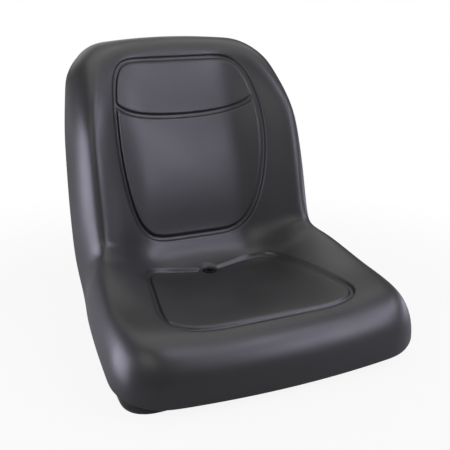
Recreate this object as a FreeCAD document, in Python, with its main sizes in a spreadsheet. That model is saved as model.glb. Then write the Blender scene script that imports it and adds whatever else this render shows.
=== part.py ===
import FreeCAD, Part
import math
import os

from FreeCAD import Placement, Rotation, Vector

# Ride-on mower seat: one moulded foam cushion, seat and back together, on a pressed steel pan.
# Millimetres and degrees. X = 0 is the mirror plane, the sitter faces -Y and +Z is up.
# The origin is the middle of the mounting hole pattern, on the underside of the pan.

os.makedirs("parts", exist_ok=True)
doc = FreeCAD.newDocument("mower_seat")
sheet = doc.addObject("Spreadsheet::Sheet", "sizes")

# Sizes that stand by themselves.
SIZES = {
    # middle line of the seating surface: a seat arc, a bend arc and a back arc, with their slopes
    "bend_length": 97.0,
    "back_length": 338.0,
    "seat_front_slope": 5.1,
    "seat_rear_slope": -7.1,
    "back_low_slope": 77.5,
    "back_top_slope": 64.3,
    # edges of the cushion
    "front_bow": 19.0,
    "top_bow": 16.0,
    "edge_squareness": 2.2,
    "edge_roll": 5.0,
    "bolster_start": 0.33,
    "bolster_end": 0.93,
    "back_dish": 0.35,
    "lean_spread": 60.0,
    # pressed pan
    "sheet": 1.6,
    "pan_inset": 6.5,
    "pan_front_wall": 11.0,
    "pan_front_run": 9.0,
    "pan_front_corner": 40.0,
    "pan_front_hollow": 6.0,
    "pan_side_run": 20.0,
    "pan_top_run": 24.0,
    "pan_back_depth": 54.0,
    "pan_bend_blend": 50.0,
    "bead_width": 14.0,
    "floor_bead_length": 170.0,
    "floor_bead_spacing": 130.0,
    "back_bead_length": 190.0,
    "back_bead_rise": 85.0,
    "back_bead_spacing": 90.0,
    "switch_hole_r": 17.0,
    "switch_recess_depth": 30.0,
    # sunk grooves
    "groove_width": 8.5,
    "groove_depth": 3.5,
    "seat_panel_half_width": 138.5,
    "seat_panel_half_length": 114.5,
    "seat_panel_middle": 181.5,
    "seat_panel_taper": -0.22,
    "seat_panel_belly": -0.02,
    "seat_panel_rear_corner": 8.0,
    "seat_panel_front_corner": 4.9,
    "seat_panel_notch": 13.5,
    "seat_panel_notch_width": 55.5,
    "back_panel_half_width": 127.5,
    "back_panel_half_length": 147.0,
    "back_panel_middle": 140.5,
    "back_panel_taper": 0.05,
    "back_panel_belly": -0.21,
    "back_panel_top_corner": 8.3,
    "back_panel_low_corner": 6.3,
    "head_arc_half_width": 124.0,
    "head_arc_end": 222.0,
    "head_arc_low": 191.5,
    # drain
    "drain_place": 282.5,
    "drain_bore_r": 4.6,
    "drain_wall": 1.8,
    "drain_flange_r": 10.5,
    "drain_flange": 2.0,
    "drain_sunk": 0.5,
    # mounting
    "hole_spacing_x": 285.75,
    "hole_spacing_y": 203.2,
    "hole_front_margin": 11.0,
    "rear_hole_to_bend": -1.2,
    "thread_r": 4.0,
    "nut_flange_r": 11.0,
    "nut_flange": 2.5,
    "nut_across_flats": 14.0,
    "nut_height": 10.5,
    "pilot_wall": 1.5,
    "fit_clearance": 0.2,
    "pocket_clearance": 2.0,
}

# Sizes that vary along the seat, from the front edge to the top of the back.
STATIONS = ("front", "thigh", "rear", "hip", "loin", "chest", "top")
STATION_SIZES = {
    "half_width": (253.0, 239.5, 219.5, 203.5, 205.0, 200.0, 170.0),
    "bolster": (3.5, 14.0, 52.0, 68.0, 61.0, 59.0, 6.5),
    "rim_drop": (82.0, 55.0, 36.0, 27.0, 21.5, 21.0, 46.0),
    "edge_round": (74.5, 33.0, 32.0, 29.0, 38.0, 33.0, 58.0),
}


def fill_sheet():
    """Write every size into the sheet, under its own name."""
    rows = dict(SIZES)
    for kind, values in STATION_SIZES.items():
        for station, value in zip(STATIONS, values):
            rows[kind + "_" + station] = value
    for row, (name, value) in enumerate(rows.items(), start=1):
        sheet.set("A%d" % row, name)
        sheet.set("B%d" % row, str(value))
        sheet.setAlias("B%d" % row, name)
    doc.recompute()


def size(name):
    """One size from the sheet."""
    return float(sheet.get(name))


fill_sheet()

# The seat is as long as the mounting holes and the nuts over them need.
PAN_SETBACK = size("pan_inset") + size("front_bow") + size("pan_front_hollow")
NUT_REACH = size("hole_spacing_y") / 2 + size("nut_flange_r")
FRONT_REACH = PAN_SETBACK + size("pan_front_run") + size("hole_front_margin") + NUT_REACH
SEAT_END = FRONT_REACH + size("hole_spacing_y") / 2 + size("rear_hole_to_bend")
BEND_END = SEAT_END + size("bend_length")
LINE_END = BEND_END + size("back_length")
FRONT_HEIGHT = size("rim_drop_front") + size("pan_front_wall")
SHEET = size("sheet")


# Middle line of the seating surface.

PATH_ARCS = (
    (SEAT_END, size("seat_front_slope"), size("seat_rear_slope")),
    (size("bend_length"), size("seat_rear_slope"), size("back_low_slope")),
    (size("back_length"), size("back_low_slope"), size("back_top_slope")),
)


def middle_line(along):
    """Point (y, z) and slope in radians of the middle line, at a distance along it from the front."""
    y = -FRONT_REACH
    z = FRONT_HEIGHT
    rest = along
    for length, start, end in PATH_ARCS:
        turn = math.radians(end - start) / length
        step = min(rest, length)
        slope = math.radians(start)
        y += (math.sin(slope + turn * step) - math.sin(slope)) / turn
        z += (math.cos(slope) - math.cos(slope + turn * step)) / turn
        slope += turn * step
        rest -= step
        if rest <= 0:
            break
    return y, z, slope


LEAN_STEPS = 4


def lean(along):
    """Way that raised points lean: the mean slope of the middle line over a distance to both sides."""
    steps = range(-LEAN_STEPS, LEAN_STEPS + 1)
    places = [along + size("lean_spread") * step / LEAN_STEPS for step in steps]
    return sum(middle_line(min(max(place, 0.0), LINE_END))[2] for place in places) / len(places)


def on_line(across, along, height):
    """Point off the middle line by a height: square to the line below it, by its mean slope above it."""
    y, z, slope = middle_line(along)
    way = lean(along) if height > 0 else slope
    return Vector(across, y - math.sin(way) * height, z + math.cos(way) * height)


STATION_PLACES = (
    0.0,
    0.5 * SEAT_END,
    0.95 * SEAT_END,
    SEAT_END + 0.5 * size("bend_length"),
    BEND_END + 0.12 * size("back_length"),
    BEND_END + 0.5 * size("back_length"),
    LINE_END,
)


def station_curve(kind):
    """Smooth curve without overshoot through one kind of station size, as a function of the place along."""
    values = [size(kind + "_" + station) for station in STATIONS]
    steps = [b - a for a, b in zip(STATION_PLACES, STATION_PLACES[1:])]
    rises = [(b - a) / step for a, b, step in zip(values, values[1:], steps)]
    slopes = [rises[0]]
    for i in range(1, len(steps)):
        if rises[i - 1] * rises[i] <= 0:
            slopes.append(0.0)
            continue
        before = 2 * steps[i] + steps[i - 1]
        after = steps[i] + 2 * steps[i - 1]
        slopes.append((before + after) / (before / rises[i - 1] + after / rises[i]))
    slopes.append(rises[-1])

    def curve(along):
        along = min(max(along, 0.0), LINE_END)
        i = 0
        while i < len(steps) - 1 and along > STATION_PLACES[i + 1]:
            i += 1
        step = steps[i]
        part = (along - STATION_PLACES[i]) / step
        start_bulge = (1 - part) * (slopes[i] - rises[i])
        end_bulge = part * (slopes[i + 1] - rises[i])
        straight = values[i] + (values[i + 1] - values[i]) * part
        return straight + part * (1 - part) * step * (start_bulge - end_bulge)

    return curve


half_width = station_curve("half_width")
bolster = station_curve("bolster")
rim_drop = station_curve("rim_drop")
edge_round = station_curve("edge_round")


def clamp(value):
    """The value, held between 0 and 1."""
    return min(max(value, 0.0), 1.0)


def smooth(value):
    """Rise from 0 to 1 with no slope and no curvature at either end."""
    value = clamp(value)
    return value * value * value * (value * (6 * value - 15) + 10)


def lift(across, along):
    """Height of the side bolsters over the middle line; on the back the part between them is a shallow dish."""
    start = size("bolster_start")
    end = size("bolster_end")
    share = abs(across) / half_width(along)
    dish = size("back_dish") * smooth((along - SEAT_END) / size("bend_length"))
    rise = smooth((share - start) / (end - start))
    return bolster(along) * (dish * min(share / end, 1.0) ** 2 + (1 - dish) * rise)


# Nets of points over the outline of the seat. Both the cushion's skin and the pan use the same net.

BAND_ROWS = 7
ROLL_ROWS = 2
INNER_COLUMNS = 9
INNER_ROWS = 24


class NetPoint:
    """Place of one net point: across, along, how far out it is (1 at the edge) and its outward direction."""

    def __init__(self, column, row, inset, side_band, front_band, top_band, front_bow):
        front = inset + size("front_bow") - front_bow
        start = front + front_band
        end = LINE_END - inset - top_band
        raw_along = start + (end - start) * row[0] - front_band * row[1] + top_band * row[2]
        out_end = max(row[1], row[2])
        wide = half_width(raw_along) - inset
        band = side_band(raw_along)
        side = -1.0 if column[0] < 0 else 1.0
        out_side = column[1]
        # a round corner: the square of the two bands becomes a quarter of a circle
        far_side = out_side * math.sqrt(1 - out_end * out_end / 2)
        far_end = out_end * math.sqrt(1 - out_side * out_side / 2)
        self.across = column[0] * (wide - band) + side * band * far_side
        self.front = raw_along < LINE_END / 2
        inward = 1.0 if self.front else -1.0
        end_band = front_band if self.front else top_band
        reach = raw_along if self.front else LINE_END - raw_along
        fade = clamp(1 - reach / (0.45 * LINE_END))
        bow = front_bow if self.front else size("top_bow")
        share = self.across / wide
        bowed = bow * share * share * fade * fade * (3 - 2 * fade)
        self.along = raw_along + inward * (end_band * (out_end - far_end) + bowed)
        self.out = min(math.hypot(far_side, far_end), 1.0)
        self.out_across = side * far_side / self.out if self.out else 0.0
        self.out_along = -inward * far_end / self.out if self.out else 0.0
        self.from_side = wide - abs(self.across)
        self.from_end = reach - (front if self.front else inset)
        if out_side and out_end:
            turn = self.out_across * self.out_across
            self.from_side = (1 - self.out) * (band * turn + end_band * (1 - turn))
            self.from_end = self.from_side

    def up_wall(self, side_run, end_run):
        """Share of the way up a wall that starts at a run from the edge, and the run at this point."""
        if self.from_side == self.from_end:
            turn = self.out_across * self.out_across
            run = side_run * turn + end_run * (1 - turn)
            return clamp(1 - self.from_side / run), run
        up_side = clamp(1 - self.from_side / side_run)
        up_end = clamp(1 - self.from_end / end_run)
        return (up_side, side_run) if up_side >= up_end else (up_end, end_run)


def make_net(band_rows, inset, front_band, front_bow):
    """Rows of net points from the front edge to the top edge, each from the left edge to the right one."""
    bands = [math.sin(math.pi / 2 * (i + 1) / band_rows) for i in range(band_rows)]
    columns = [(i / (INNER_COLUMNS - 1), 0.0) for i in range(INNER_COLUMNS)]
    columns += [(1.0, band) for band in bands]
    columns = [(-inner, band) for inner, band in columns[:0:-1]] + columns
    rows = [(0.0, band, 0.0) for band in reversed(bands)]
    rows += [(i / (INNER_ROWS - 1), 0.0, 0.0) for i in range(INNER_ROWS)]
    rows += [(1.0, 0.0, band) for band in bands]
    top_band = size("edge_round_top") - inset

    def side_band(along):
        return edge_round(along) - inset

    bands = (side_band, front_band, top_band)
    return [[NetPoint(column, row, inset, *bands, front_bow) for column in columns] for row in rows]


def rounded(out, power):
    """Section of a rounded edge: 1 over the middle, falling to 0 at the edge."""
    return max(1 - out ** power, 0.0) ** (1 / power)


def knots(count, degree):
    """Knots and their repeats for a row of control points that is held at both ends."""
    spans = count - degree
    return list(range(spans + 1)), [degree + 1] + [1] * (spans - 1) + [degree + 1]


def surface_through(poles, degree=3):
    """Smooth surface drawn by a net of control points, held to the net at its four edges."""
    row_knots, row_repeats = knots(len(poles), degree)
    column_knots, column_repeats = knots(len(poles[0]), 3)
    surface = Part.BSplineSurface()
    surface.buildFromPolesMultsKnots(
        poles, row_repeats, column_repeats, row_knots, column_knots, False, False, degree, 3
    )
    return surface.toShape()


def border(poles):
    """The four edge rows of a net, in a fixed order."""
    return (poles[0], poles[-1], [row[0] for row in poles], [row[-1] for row in poles])


def strips(first, second):
    """Straight faces that join the edges of two nets."""
    return [surface_through([list(a), list(b)], 1) for a, b in zip(border(first), border(second))]


def solid_of(faces):
    """Closed solid from faces that share their edges."""
    shell = Part.makeShell(faces)
    shell.sewShape()
    solid = Part.makeSolid(Part.Shell(shell.Faces))
    if solid.Volume < 0:
        solid.reverse()
    return solid


# The cushion's skin: bolsters, rounded edges and a rolled lower rim.

def skin_poles():
    """Control points of the skin, with two more rows round the edge for the rolled rim."""
    net = make_net(BAND_ROWS - ROLL_ROWS, 0.0, size("edge_round_front"), size("front_bow"))
    power = size("edge_squareness")
    roll = size("edge_roll")

    def pole(point, ring):
        drop = rim_drop(point.along)
        if ring == 0:
            wall = drop - roll
            height = (lift(point.across, point.along) + wall) * rounded(point.out, power) - wall
            return on_line(point.across, point.along, height)
        tuck = roll * (ring - 1)
        across = point.across - point.out_across * tuck
        along = point.along - point.out_along * tuck
        return on_line(across, along, -drop)

    last_row = len(net) - 1
    last_column = len(net[0]) - 1
    poles = []
    for r in range(-ROLL_ROWS, last_row + ROLL_ROWS + 1):
        row = []
        for c in range(-ROLL_ROWS, last_column + ROLL_ROWS + 1):
            ring = max(-r, r - last_row, -c, c - last_column, 0)
            point = net[min(max(r, 0), last_row)][min(max(c, 0), last_column)]
            row.append(pole(point, ring))
        poles.append(row)
    return poles


# The pan: a flat floor under the seat, a bend, and a sheet behind the back, with walls up to the rim.

def floor_depth(along):
    """Depth of the pan under the middle line, along its square direction."""
    y, z, slope = middle_line(along)
    back = size("pan_back_depth")
    under = z / math.cos(slope)
    behind = back
    if along < BEND_END:
        yb, zb, lean = middle_line(BEND_END)
        towards = math.sin(slope) * math.sin(lean) + math.cos(slope) * math.cos(lean)
        gap = (yb - y) * math.sin(lean) - (zb - z) * math.cos(lean) + back
        behind = gap / towards if towards > 0.05 else 10 * back
    blend = size("pan_bend_blend")
    near = max(blend - abs(under - behind), 0.0) / blend
    return min(under, behind) - near * near * blend / 4


def pan_poles(lift_off):
    """Control points of the pan's outer surface, or of a surface at a distance inside it."""
    poles = []
    net = make_net(BAND_ROWS, size("pan_inset"), size("pan_front_corner"), -size("pan_front_hollow"))
    for net_row in net:
        row = []
        for point in net_row:
            drop = rim_drop(point.along)
            wall = max(floor_depth(point.along) - drop, SHEET)
            end_run = size("pan_front_run") if point.front else size("pan_top_run")
            up, run = point.up_wall(size("pan_side_run"), end_run)
            depth = drop + wall * rounded(up, 2.0)
            steep = math.atan2(wall * up, run * math.sqrt(1 - up * up))
            inward = lift_off * math.sin(steep)
            across = point.across - point.out_across * inward
            along = point.along - point.out_along * inward
            row.append(on_line(across, along, -depth + lift_off * math.cos(steep)))
        poles.append(row)
    return poles


skin_net = skin_poles()
outside_net = pan_poles(0.0)
inside_net = pan_poles(SHEET)
pan_inside = surface_through(inside_net)
pan_edge = strips(outside_net, inside_net)
cushion_faces = [surface_through(skin_net), pan_inside] + strips(skin_net, outside_net) + pan_edge
pan_faces = [surface_through(outside_net), pan_inside] + pan_edge


def add_feature(name, shape):
    """A document object that holds a shape worked out from the sheet."""
    feature = doc.addObject("Part::Feature", name)
    feature.Shape = shape
    return feature


cushion_blank = add_feature("cushion_blank", solid_of(cushion_faces))
pan_blank = add_feature("pan_blank", solid_of(pan_faces))

# Sunk grooves. Each outline is a rounded figure in the plane of its panel; the groove is a ring round it,
# taken from between the skin and the same skin moved inwards by the groove's depth.

OUTLINE_POINTS = 72


def figure(half_across, half_up, corner_up, corner_down, taper, belly, notch, notch_width):
    """Points round a figure between an ellipse and a rectangle, tapered, with a notch in its upper edge."""
    points = []
    for i in range(OUTLINE_POINTS):
        angle = 2 * math.pi * (i + 0.5) / OUTLINE_POINTS
        power = corner_up if math.sin(angle) > 0 else corner_down
        x_share = (abs(math.cos(angle)) / half_across) ** power
        y_share = (abs(math.sin(angle)) / half_up) ** power
        radius = (x_share + y_share) ** (-1 / power)
        up = radius * math.sin(angle) / half_up
        across = radius * math.cos(angle) * (1 + taper * up + belly * up * up)
        dent = notch * math.exp(-((across / notch_width) ** 2)) * max(up, 0.0) ** 2
        points.append((across, half_up * up - dent))
    return points


def beside(points, distance, closed):
    """Points moved sideways, to the right of the way they run."""
    count = len(points)
    moved = []
    for i, (x, y) in enumerate(points):
        before = points[i - 1] if closed or i > 0 else points[i]
        after = points[(i + 1) % count] if closed or i < count - 1 else points[i]
        dx = after[0] - before[0]
        dy = after[1] - before[1]
        length = math.hypot(dx, dy)
        moved.append((x + dy / length * distance, y - dx / length * distance))
    return moved


def closed_wire(points):
    """Smooth closed curve through points in the XY plane."""
    curve = Part.BSplineCurve()
    curve.interpolate(Points=[Vector(x, y, 0) for x, y in points], PeriodicFlag=True)
    return Part.Wire(curve.toShape())


def ring_prism(points, height):
    """Upright wall that follows a closed outline, as wide as a groove."""
    half = size("groove_width") / 2
    outer = Part.Face(closed_wire(beside(points, half, True)))
    inner = Part.Face(closed_wire(beside(points, -half, True)))
    return outer.cut(inner).extrude(Vector(0, 0, height))


def band_prism(points, height):
    """Upright wall that follows an open line, as wide as a groove."""
    half = size("groove_width") / 2
    edges = []
    for side in (half, -half):
        curve = Part.BSplineCurve()
        curve.interpolate([Vector(x, y, 0) for x, y in beside(points, side, False)])
        edges.append(curve.toShape())
    ends = [Part.LineSegment(edges[0].Vertexes[i].Point, edges[1].Vertexes[i].Point).toShape() for i in (0, 1)]
    outline = Part.Wire(Part.__sortEdges__(edges + ends))
    return Part.Face(outline).extrude(Vector(0, 0, height))


def head_arc():
    """Points along the line between the head panel and the back panel."""
    wide = size("head_arc_half_width")
    end = size("head_arc_end")
    sag = end - size("head_arc_low")
    points = []
    for i in range(25):
        angle = math.radians(170.0 - 160.0 * i / 24)
        x = math.copysign(abs(math.cos(angle)) ** 0.88, math.cos(angle))
        points.append((wide * x, end - sag * abs(math.sin(angle)) ** 0.88))
    return points


BACK_LEAN = (size("back_low_slope") + size("back_top_slope")) / 2
bend_y, bend_z, bend_slope = middle_line(BEND_END)
BACK_PLANE = Placement(Vector(0, bend_y, bend_z), Rotation(Vector(1, 0, 0), BACK_LEAN))
GROOVE_REACH = 60.0


def groove_cut(name, wall, place, inwards):
    """Groove that follows a wall over the skin: the wall less the skin moved inwards."""
    ring = add_feature(name + "_wall", wall)
    ring.Placement = place
    core = add_feature(name + "_core", cushion_blank.Shape.translated(inwards * size("groove_depth")))
    groove = doc.addObject("Part::Cut", name)
    groove.Base = ring
    groove.Tool = core
    return groove


seat_outline = figure(
    size("seat_panel_half_width"),
    size("seat_panel_half_length"),
    size("seat_panel_rear_corner"),
    size("seat_panel_front_corner"),
    size("seat_panel_taper"),
    size("seat_panel_belly"),
    size("seat_panel_notch"),
    size("seat_panel_notch_width"),
)
seat_middle = size("seat_panel_middle") - FRONT_REACH
seat_plane = Placement(Vector(0, seat_middle, FRONT_HEIGHT - GROOVE_REACH / 2), Rotation())
seat_groove = groove_cut("seat_groove", ring_prism(seat_outline, GROOVE_REACH), seat_plane, Vector(0, 0, -1))

back_outline = figure(
    size("back_panel_half_width"),
    size("back_panel_half_length"),
    size("back_panel_top_corner"),
    size("back_panel_low_corner"),
    size("back_panel_taper"),
    size("back_panel_belly"),
    0.0,
    1.0,
)
back_outline = [(x, up + size("back_panel_middle")) for x, up in back_outline]
back_wall = ring_prism(back_outline, GROOVE_REACH).fuse(band_prism(head_arc(), GROOVE_REACH))
back_wall.translate(Vector(0, 0, -GROOVE_REACH / 2))
back_inwards = BACK_PLANE.Rotation.multVec(Vector(0, 0, -1))
back_groove = groove_cut("back_groove", back_wall, BACK_PLANE, back_inwards)

# Round pieces and cuts, bound to the sheet.


def cylinder(name, radius, height, place):
    """Upright cylinder whose radius and height are expressions of the sheet, on a place."""
    made = doc.addObject("Part::Cylinder", name)
    made.setExpression("Radius", radius)
    made.setExpression("Height", height)
    made.Placement = Placement(place, Rotation())
    return made


def joined(kind, name, shapes):
    """Fusion or compound of several objects."""
    made = doc.addObject(kind, name)
    if kind == "Part::Compound":
        made.Links = shapes
    else:
        made.Shapes = shapes
    return made


def cut(name, base, tool):
    """One object less another."""
    made = doc.addObject("Part::Cut", name)
    made.Base = base
    made.Tool = tool
    return made


hole_places = [
    Vector(sx * size("hole_spacing_x") / 2, sy * size("hole_spacing_y") / 2, 0) for sx in (-1, 1) for sy in (-1, 1)
]
up_sheet = Vector(0, 0, SHEET)
THROUGH_SHEET = "3 * sizes.sheet"

# Weld nuts: a flange on the pan, a hexagon over it and a pilot down through the pan.

nuts = []
nut_pockets = []
pilot_holes = []
for number, place in enumerate(hole_places, start=1):
    flange = cylinder("nut_flange_%d" % number, "sizes.nut_flange_r", "sizes.nut_flange", place + up_sheet)
    pilot_r = "sizes.thread_r + sizes.pilot_wall"
    pilot = cylinder("nut_pilot_%d" % number, pilot_r, "sizes.sheet + sizes.nut_flange", place)
    hexagon = doc.addObject("Part::Prism", "nut_hexagon_%d" % number)
    hexagon.Polygon = 6
    hexagon.setExpression("Circumradius", "sizes.nut_across_flats / 2 / cos(30 deg)")
    hexagon.setExpression("Height", "sizes.nut_height")
    hexagon.Placement = Placement(place + up_sheet, Rotation())
    bore = cylinder("nut_bore_%d" % number, "sizes.thread_r", "sizes.sheet + sizes.nut_height", place)
    body = joined("Part::MultiFuse", "nut_body_%d" % number, [flange, pilot, hexagon])
    nuts.append(cut("nut_%d" % number, body, bore))
    hole_r = pilot_r + " + sizes.fit_clearance"
    pilot_holes.append(cylinder("pilot_hole_%d" % number, hole_r, THROUGH_SHEET, place - up_sheet))
    pocket_r = "sizes.nut_flange_r + sizes.pocket_clearance"
    pocket_height = "sizes.sheet + sizes.nut_height + sizes.pocket_clearance"
    nut_pockets.append(cylinder("nut_pocket_%d" % number, pocket_r, pocket_height, place))
weld_nuts = joined("Part::Compound", "weld_nuts", nuts)

# Drain sleeve: a flange sunk in the seat and a tube down to the underside of the pan.

drain_y = size("drain_place") - FRONT_REACH
drain_foot = Vector(0, drain_y, 0)


def height_at(y):
    """Height of the middle of the seating surface over a place along Y."""
    low = 0.0
    high = BEND_END
    for _ in range(60):
        middle = (low + high) / 2
        if middle_line(middle)[0] < y:
            low = middle
        else:
            high = middle
    return middle_line(low)[1]


drain_top = height_at(drain_y) - size("drain_sunk")
drain_rise = "%.4f mm" % drain_top
sleeve_r = "sizes.drain_bore_r + sizes.drain_wall"
flange_foot = Vector(0, drain_y, drain_top - size("drain_flange"))
sleeve = cylinder("drain_sleeve", sleeve_r, drain_rise, drain_foot)
drain_flange = cylinder("drain_flange_disc", "sizes.drain_flange_r", "sizes.drain_flange", flange_foot)
drain_body = joined("Part::MultiFuse", "drain_body", [sleeve, drain_flange])
drain_bore = cylinder("drain_bore", "sizes.drain_bore_r", drain_rise, drain_foot)
drain_grommet = cut("drain_grommet", drain_body, drain_bore)

over_seat = "2 * (sizes.rim_drop_front + sizes.pan_front_wall)"
drain_hole = cylinder("drain_hole", sleeve_r + " + sizes.fit_clearance", over_seat, drain_foot)
drain_seat = cylinder("drain_seat", "sizes.drain_flange_r + sizes.fit_clearance", over_seat, flange_foot)
pan_drain_hole = cylinder(
    "pan_drain_hole", sleeve_r + " + sizes.fit_clearance", THROUGH_SHEET, drain_foot - up_sheet
)

# Opening in the pan for a seat switch, with the foam cleared over it.

switch_hole = cylinder("switch_hole", "sizes.switch_hole_r", THROUGH_SHEET, -up_sheet)
switch_recess = cylinder("switch_recess", "sizes.switch_hole_r", "sizes.switch_recess_depth", Vector())

# Stiffening beads pressed up into the foam: half round channels with round ends.


def bead(name, radius, length, place, share):
    """Round bar with round ends along its own X: whole, or the half of it above its middle plane."""
    half_length = size(length) / 2
    bar = doc.addObject("Part::Cylinder", name + "_bar")
    bar.setExpression("Radius", radius)
    bar.setExpression("Height", "sizes." + length)
    bar.Angle = 360 * share
    lying = Rotation(Vector(0, 1, 0), 90).multiply(Rotation(Vector(0, 0, 1), 90))
    bar.Placement = Placement(Vector(-half_length, 0, 0), lying)
    pieces = [bar]
    for number, side in enumerate((-1, 1), start=1):
        end = doc.addObject("Part::Sphere", "%s_end_%d" % (name, number))
        end.setExpression("Radius", radius)
        end.Angle1 = 90 - 180 * share
        end.Placement = Placement(Vector(side * half_length, 0, 0), Rotation())
        pieces.append(end)
    whole = joined("Part::MultiFuse", name, pieces)
    whole.Placement = place
    return whole


def bead_places():
    """Name, length and place of each bead: two along the floor, two across the back."""
    places = []
    turned = Rotation(Vector(0, 0, 1), 90)
    for number, side in enumerate((-0.5, 0.5), start=1):
        spot = Vector(side * size("floor_bead_spacing"), 0, 0)
        places.append(("floor_bead_%d" % number, "floor_bead_length", Placement(spot, turned)))
    for number in (1, 2):
        along = BEND_END + size("back_bead_rise") + (number - 1) * size("back_bead_spacing")
        spot = on_line(0, along, -size("pan_back_depth"))
        lean = Rotation(Vector(1, 0, 0), math.degrees(middle_line(along)[2]))
        places.append(("back_bead_%d" % number, "back_bead_length", Placement(spot, lean)))
    return places


half_sheet_up = Placement(Vector(0, 0, SHEET / 2), Rotation())
bead_ridges = []
bead_channels = []
for name, length, place in bead_places():
    ridge_place = place.multiply(half_sheet_up)
    bead_ridges.append(bead(name + "_ridge", "(sizes.bead_width + sizes.sheet) / 2", length, ridge_place, 0.5))
    bead_channels.append(bead(name + "_channel", "sizes.bead_width / 2", length, place, 1.0))

# The pan and the cushion.

pan_body = joined("Part::MultiFuse", "pan_body", [pan_blank] + bead_ridges)
pan_cuts = joined("Part::Compound", "pan_cuts", bead_channels + pilot_holes + [pan_drain_hole, switch_hole])
seat_pan = cut("seat_pan", pan_body, pan_cuts)

ridge_cuts = joined("Part::Compound", "ridge_cuts", bead_ridges)
drain_cuts = joined("Part::MultiFuse", "drain_cuts", [drain_hole, drain_seat])
cushion_hollows = joined("Part::Compound", "cushion_hollows", nut_pockets + [switch_recess])
with_hollows = cut("with_hollows", cut("with_beads", cushion_blank, ridge_cuts), cushion_hollows)
with_drain = cut("with_drain", with_hollows, drain_cuts)
seat_cushion = cut("seat_cushion", cut("with_seat_groove", with_drain, seat_groove), back_groove)

doc.recompute()

for made in doc.Objects:
    if made.isDerivedFrom("Part::Feature"):
        if "Invalid" in made.State or "Error" in made.State or made.Shape.isNull() or not made.Shape.isValid():
            raise RuntimeError("%s is not a sound shape: %s" % (made.Name, made.State))

for node in (seat_cushion, seat_pan, drain_grommet, weld_nuts):
    node.Label = node.Name
    box = node.Shape.BoundBox
    print(node.Label, len(node.Shape.Solids), "solids, volume %.0f" % node.Shape.Volume, box)
    node.Shape.exportStep("parts/%s.step" % node.Label)
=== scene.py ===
"""Ride-on mower seat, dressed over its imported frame.

The moulded cushion is worked out again as one dense surface with its sunk grooves, drain pocket
and rolled rim; the steel pan, the drain sleeve and the weld nuts keep their solids and get their
finishes. Lengths in the dataclasses are metres unless a name says otherwise; X = 0 is the mirror
plane, the sitter faces -Y and +Z is up.
"""

import logging
import math
from dataclasses import dataclass, field, fields
from enum import Enum

import bpy
import numpy as np
from mathutils import Matrix, Vector


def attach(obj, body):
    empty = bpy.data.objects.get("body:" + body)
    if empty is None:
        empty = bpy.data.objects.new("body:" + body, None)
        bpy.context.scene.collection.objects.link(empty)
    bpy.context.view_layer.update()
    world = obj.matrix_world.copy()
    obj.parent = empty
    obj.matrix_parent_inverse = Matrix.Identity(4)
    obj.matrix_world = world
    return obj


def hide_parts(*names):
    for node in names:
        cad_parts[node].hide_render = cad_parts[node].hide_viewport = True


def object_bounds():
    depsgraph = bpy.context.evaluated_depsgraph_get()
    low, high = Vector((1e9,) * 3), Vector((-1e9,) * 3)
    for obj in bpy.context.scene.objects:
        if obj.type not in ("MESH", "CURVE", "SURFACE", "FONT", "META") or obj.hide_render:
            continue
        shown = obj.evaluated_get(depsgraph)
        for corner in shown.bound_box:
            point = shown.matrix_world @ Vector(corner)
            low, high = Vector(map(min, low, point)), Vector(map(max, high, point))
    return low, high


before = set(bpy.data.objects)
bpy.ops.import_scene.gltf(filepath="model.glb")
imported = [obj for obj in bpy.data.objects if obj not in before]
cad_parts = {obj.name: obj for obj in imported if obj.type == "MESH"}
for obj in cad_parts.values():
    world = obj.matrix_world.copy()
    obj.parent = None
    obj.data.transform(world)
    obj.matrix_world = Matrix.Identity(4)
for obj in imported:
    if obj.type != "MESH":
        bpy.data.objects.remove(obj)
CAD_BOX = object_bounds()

log = logging.getLogger("mower_seat")

Array = np.ndarray
Arrays = tuple[Array, Array, Array]
Row = tuple[float, ...]
Pair = tuple[float, float]
Triple = tuple[float, float, float]
Socket = bpy.types.NodeSocket

X_AXIS, Y_AXIS, Z_AXIS = np.eye(3)
CUBIC = 3
SLOPE_STEP = 2e-5
HAIR = 1e-6
SPAN_END = 1e-9
TINY = 1e-12
WHITE = (1.0, 1.0, 1.0, 1.0)
COOL_LIGHT: Triple = (0.90, 0.87, 1.08)
PLAIN_LIGHT: Triple = (1.0, 0.99, 0.97)


class Node(Enum):
    """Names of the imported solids."""

    CUSHION = "seat_cushion"
    PAN = "seat_pan"
    DRAIN = "drain_grommet"
    NUTS = "weld_nuts"


class Slot(Enum):
    """Names of the record's material slots."""

    VINYL = "vinyl"


def smooth_rise(value: Array) -> Array:
    """Rise from 0 to 1 with no slope and no curvature at either end: 6v^5 - 15v^4 + 10v^3."""
    v = np.clip(value, 0.0, 1.0)
    return v**3 * (v * (6 * v - 15) + 10)


def ease(value: Array) -> Array:
    """Rise from 0 to 1 with no slope at either end: 3v^2 - 2v^3."""
    v = np.clip(value, 0.0, 1.0)
    return v * v * (3 - 2 * v)


@dataclass(frozen=True)
class Arc:
    """One arc of the seat's middle line: its length and its slope at both ends, in degrees."""

    length: float
    start_slope: float
    end_slope: float


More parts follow.
